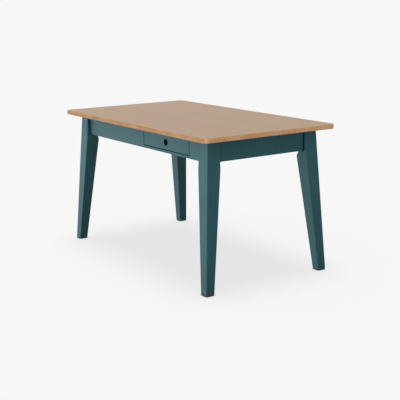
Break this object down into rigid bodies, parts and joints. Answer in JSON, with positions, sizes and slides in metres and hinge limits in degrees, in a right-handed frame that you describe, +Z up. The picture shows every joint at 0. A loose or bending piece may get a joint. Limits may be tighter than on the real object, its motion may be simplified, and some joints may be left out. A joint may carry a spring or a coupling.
{
  "type": "dining table",
  "caption": "Rectangular dining table with an oak top, a painted frame with splayed tapered legs, and a flush apron drawer with a round finger hole.",
  "frame": {"origin": "on the floor, under the middle of the tabletop", "axes": "+X along the length of the top, -Y towards the drawer side, +Z up"},
  "size_m": [1.4, 0.8, 0.76],
  "materials": {
    "oak_top": "matt oiled oak",
    "teal_paint": "satin teal paint on wood",
    "frame_wood": "planed, bare",
    "drawer_wood": "sanded, clear lacquer",
    "drawer_panel": "birch plywood",
    "zinc_steel": "bright zinc plate",
    "nylon": "moulded nylon"
  },
  "bodies": {
    "table": {"table_top": "oak_top", "front_left_leg": "teal_paint", "front_right_leg": "teal_paint", "back_left_leg": "teal_paint", "back_right_leg": "teal_paint", "front_apron": "teal_paint", "back_apron": "teal_paint", "left_apron": "teal_paint", "right_apron": "teal_paint", "front_left_corner_block": "frame_wood", "front_right_corner_block": "frame_wood", "back_left_corner_block": "frame_wood", "back_right_corner_block": "frame_wood", "drawer_bearer_left": "frame_wood", "drawer_bearer_right": "frame_wood", "drawer_runner_left": "frame_wood", "drawer_runner_right": "frame_wood", "drawer_kicker_left": "frame_wood", "drawer_kicker_right": "frame_wood", "drawer_stop_left": "frame_wood", "drawer_stop_right": "frame_wood", "pull_stop_rail": "frame_wood", "leg_bolts": "zinc_steel", "leg_plates": "zinc_steel", "leg_nuts": "zinc_steel", "top_brackets": "zinc_steel", "foot_glides": "nylon"},
    "drawer": {"drawer_front": "teal_paint", "drawer_side_left": "drawer_wood", "drawer_side_right": "drawer_wood", "drawer_back": "drawer_wood", "drawer_bottom": "drawer_panel"}
  },
  "joints": [
    {"name": "drawer_slide", "type": "slide", "parent": "table", "child": "drawer", "axis": [0, -1, 0], "range_m": [0, 0.26]}
  ]
}
